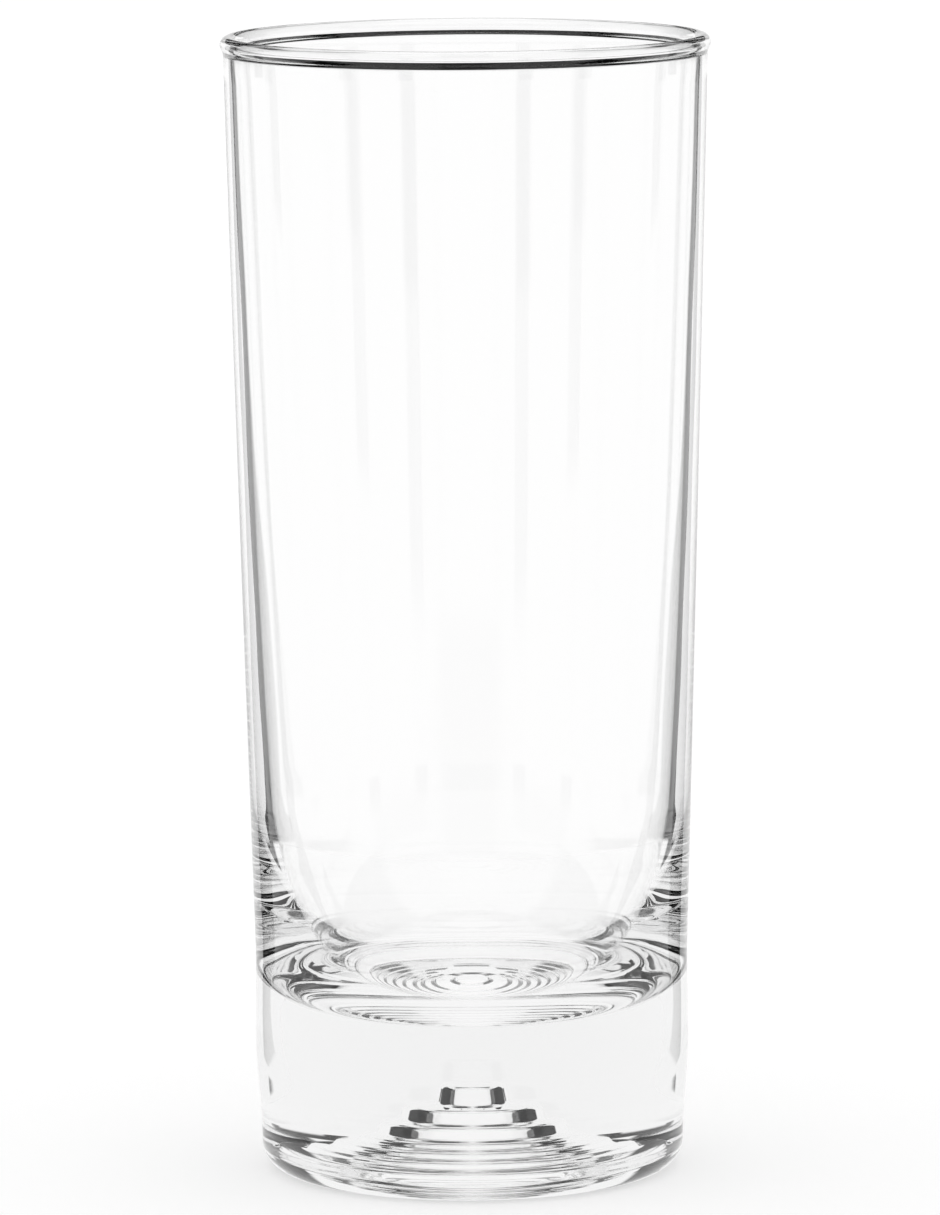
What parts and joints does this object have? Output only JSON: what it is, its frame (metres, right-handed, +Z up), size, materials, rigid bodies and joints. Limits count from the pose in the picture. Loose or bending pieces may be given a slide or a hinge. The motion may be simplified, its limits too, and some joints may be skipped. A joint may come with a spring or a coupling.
{
  "type": "highball glass",
  "caption": "Tall, slightly tapered drinking glass with a rounded rim, a heavy solid base and a stepped punt.",
  "frame": {"origin": "centre of the resting ring's plane, on the glass's axis, at the lowest point of the glass", "axes": "+Z up along the glass's axis, from the resting ring to the rim; +X and +Y are equal directions across the round glass"},
  "size_m": [0.062, 0.062, 0.145],
  "materials": {
    "clear_glass": "clear, colourless soda-lime glass, fire-polished and smooth all over"
  },
  "bodies": {
    "root": {"rim_bead": "clear_glass", "side_wall": "clear_glass", "heavy_base": "clear_glass"}
  },
  "joints": []
}
